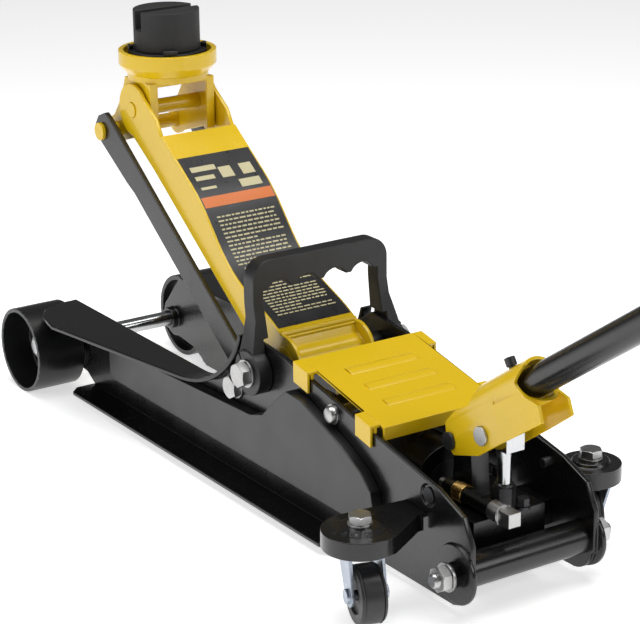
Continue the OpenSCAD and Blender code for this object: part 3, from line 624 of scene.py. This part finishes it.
foil_black = wire_in(
    "foil_black", moulded,
    {"Tint": (0.016, 0.016, 0.017, 1), "Dust": (0.05, 0.05, 0.05, 1), "Gloss": 0.3, "Spread": 0.2},
    0.05,
)
foil_orange = wire_in(
    "foil_orange", moulded,
    {"Tint": (0.72, 0.16, 0.01, 1), "Dust": (0.5, 0.2, 0.06, 1), "Gloss": 0.32, "Spread": 0.2}, 0.05,
)
foil_pale = wire_in(
    "foil_pale", moulded,
    {"Tint": (0.62, 0.56, 0.33, 1), "Dust": (0.4, 0.37, 0.25, 1), "Gloss": 0.34, "Spread": 0.2}, 0.05,
)
laid("back_foil", [(128, 0, 204, 76)], 0.25 * mm, foil_black, "black_paint")
laid("foil_bar", [(176, 0, 11, 74)], 0.42 * mm, foil_orange, "yellow_paint")
chance = random.Random(7)
marks = []
for row in range(30):
    along = 160 - row * 4.1
    if 92 < along < 110:
        continue
    side = -30.0
    while side < 29:
        width = chance.uniform(2.2, 6.5)
        if row % 7 == 6 and side > chance.uniform(-5, 20):
            break
        marks.append((along, min(side + width / 2, 29), 1.5, width))
        side += width + 1.4
marks += [(101, -22 + 11 * step, 11, 8) for step in range(5)]
marks += [
    (206, 2, 13, 13), (206, 24, 13, 13), (190, 20, 9, 22), (214, -19, 6, 26), (203, -22, 5, 20),
    (191, -24, 3, 16),
]
laid("foil_marks", marks, 0.42 * mm, foil_pale, "yellow_paint")
lip = disc(on_back(19 * mm, 0, -0.6 * mm), Y, 3.0 * mm, -40 * mm, 40 * mm, 2.4 * mm, 24)
shown("back_lip", lip, "arm", slot_of["lift_arm"], yellow_gloss)


# ---------------------------------------------------------------- parallel links
# Two flat bars beside the arm, sprayed black, that keep the saddle level as it rises.
# They swing on the link bolts below and on one painted cross pin at the carrier.
for side in ("left", "right"):
    softened(f"link_{side}", 0.7 * mm, black_gloss)
softened("link_pin", 0.4 * mm, yellow_gloss)


# ---------------------------------------------------------------- saddle and its carrier
# The carrier is a folded yellow cradle. A dark cast saddle turns in it, and a plain
# black rubber pad with one deep slot lies loose on the saddle.
rubber = wire_in(
    "rubber", moulded,
    {"Tint": (0.008, 0.008, 0.0085, 1), "Dust": (0.05, 0.049, 0.048, 1), "Gloss": 0.62, "Spread": 0.35,
     "Grain": 1100.0},
    0.6, 0.0005,
)
softened("saddle_carrier", 0.7 * mm, yellow_gloss)
softened("saddle", 0.6 * mm, dark_steel)
softened("rubber_pad", 0.7 * mm, rubber)


# ---------------------------------------------------------------- power unit
# A cast block, the cylinder and the tank behind it, all sprayed black, with a polished
# ram, a forged crosshead and two drawn coil springs that pull the ram back.
spring_steel = wire_in(
    "spring_steel", metal,
    {"Tint": (0.2, 0.2, 0.205, 1), "Stain": (0.06, 0.055, 0.05, 1), "Gloss": 0.34, "Spread": 0.6}, 0.1,
    Metallic=1.0,
)


def coil(start, end, radius, wire, turns):
    """A helical spring between two points, its wire capped at both ends."""
    axis = (end - start).normalized()
    aside = Vector((-axis.z, 0, axis.x)) if abs(axis.y) < 0.5 else X.copy()
    steps = int(20 * turns)
    bm = bmesh.new()
    ring = bmesh.ops.create_circle(
        bm, cap_ends=False, segments=8, radius=wire,
        matrix=Matrix.Translation(start + aside * radius)
        @ axis.cross(aside).to_track_quat("Z", "Y").to_matrix().to_4x4(),
    )
    edges = list({edge for vert in ring["verts"] for edge in vert.link_edges})
    bmesh.ops.spin(bm, geom=ring["verts"] + edges, cent=start, axis=axis, dvec=(end - start) / steps,
                   angle=math.tau * turns, steps=steps)
    bmesh.ops.holes_fill(bm, edges=[edge for edge in bm.edges if edge.is_boundary], sides=0)
    bmesh.ops.recalc_face_normals(bm, faces=bm.faces)
    return bm


softened("power_block", 0.6 * mm, black_gloss)
softened("reservoir", 0.4 * mm, black_gloss)
softened("cylinder", 0.4 * mm, dark_steel)
softened("ram", 0.3 * mm, chrome)
softened("crosshead", 0.1 * mm, dark_steel, 1)
for side in ("left", "right"):
    low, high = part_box(f"spring_{side}")
    start = Vector((low.x, (low.y + high.y) / 2, (low.z + high.z) / 2))
    end = Vector((high.x, start.y, start.z))
    wound = joined(
        coil(start + X * 10 * mm, end - X * 10 * mm, 5.2 * mm, 1.15 * mm, 44),
        disc(start, X, 1.6 * mm, 0, 14 * mm, 0.3 * mm, 16),
        disc(end, -X, 1.6 * mm, 0, 14 * mm, 0.3 * mm, 16),
    )
    whole = shown(f"spring_{side}_wound", wound, None, slot_of[f"spring_{side}"], spring_steel,
                  f"spring_{side}")
    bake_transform(whole)


# ---------------------------------------------------------------- pump and release valve
# A hexagonal gland guides the polished plunger. Beside it the release spindle turns in a
# sleeve with a brass-coloured spring wound round it.
softened("pump_lug", 0.6 * mm, black_gloss)
softened("pump_plunger", 0.3 * mm, chrome)
softened("release_sleeve", 0.3 * mm, black_gloss)
softened("release_spindle", 0.5 * mm, bright_zinc)
low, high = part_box("pump_gland")
foot = Vector(((low.x + high.x) / 2, (low.y + high.y) / 2, low.z))
shown("pump_gland_finished", copied("pump_gland"), "chassis", slot_of["pump_gland"], dark_steel,
      "pump_gland")
brass = wire_in(
    "brass_wire", metal,
    {"Tint": (0.55, 0.36, 0.12, 1), "Stain": (0.25, 0.15, 0.05, 1), "Gloss": 0.3, "Spread": 0.5}, 0.1,
    Metallic=1.0,
)
low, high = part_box("release_sleeve")
spot = Vector((low.x, centre("release_spindle").y, centre("release_spindle").z))
shown("release_coil", coil(spot + X * 14 * mm, spot + X * 27 * mm, 7.4 * mm, 0.9 * mm, 6), "chassis",
      slot_of["release_spindle"], brass)
plug = Vector((foot.x + 6 * mm, foot.y + 15 * mm, foot.z))
shown("block_plug",
      joined(disc(plug, Z, 6 * mm, -0.5 * mm, 2 * mm), hexagon(plug, Z, 9 * mm, 2 * mm, 9 * mm)),
      "chassis", slot_of["pump_gland"], dark_steel)


# ---------------------------------------------------------------- casters
# Black brackets welded to the plates carry bluish zinc forks on king bolts. The wheels
# are hard moulded rollers with a smooth rounded tread.
fork_zinc = wire_in(
    "fork_zinc", metal,
    {"Tint": (0.42, 0.47, 0.55, 1), "Stain": (0.2, 0.21, 0.22, 1), "Gloss": 0.36, "Spread": 0.5}, 0.12,
    Metallic=1.0,
)
tread = wire_in(
    "tread", moulded,
    {"Tint": (0.012, 0.012, 0.0125, 1), "Dust": (0.06, 0.058, 0.055, 1), "Gloss": 0.4, "Spread": 0.3}, 0.2,
)
for side in ("left", "right"):
    softened(f"caster_bracket_{side}", 0.7 * mm, black_gloss)
    softened(f"caster_fork_{side}", 0.4 * mm, fork_zinc)
    softened(f"caster_wheel_{side}", 1.2 * mm, tread, 3)
    low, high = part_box(f"king_bolt_{side}")
    foot = Vector(((low.x + high.x) / 2, (low.y + high.y) / 2, low.z))
    king = joined(
        disc(foot, Z, 6 * mm, 0, 24 * mm), disc(foot, Z, 9 * mm, 0, 5 * mm),
        disc(foot, Z, 10 * mm, 23 * mm, 25 * mm), hexagon(foot, Z, 17 * mm, 25 * mm, 32 * mm),
    )
    shown(f"king_bolt_{side}_finished", king, "chassis", slot_of[f"king_bolt_{side}"], bright_zinc,
          f"king_bolt_{side}")


# ---------------------------------------------------------------- cover
# A pressed yellow sheet over the rear of the frame. Its four tabs fold down outside the
# plates, soft ribs stiffen it, and its rear edge is turned down.
softened("cover_plate", 0.5 * mm, yellow_gloss)


# ---------------------------------------------------------------- handle socket
# A folded yellow hood and a tube welded into it rock on the lug's pin. The second pin
# works the plunger and a dark set screw grips the handle.
softened("socket_hood", 0.5 * mm, yellow_gloss)
softened("socket_sleeve", 0.4 * mm, yellow_gloss)
softened("socket_pin", 0.4 * mm, dark_steel)
softened("pump_pin", 0.4 * mm, bright_zinc)
softened("lock_screw", 0.3 * mm, dark_steel)


# ---------------------------------------------------------------- handle
# A black steel tube slides into the socket. A plain soft grip is pushed over its end,
# with its rims rounded over.
softened("handle_tube", 0.4 * mm, black_gloss)
softened("handle_grip", 0.6 * mm, rubber)

low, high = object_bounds()
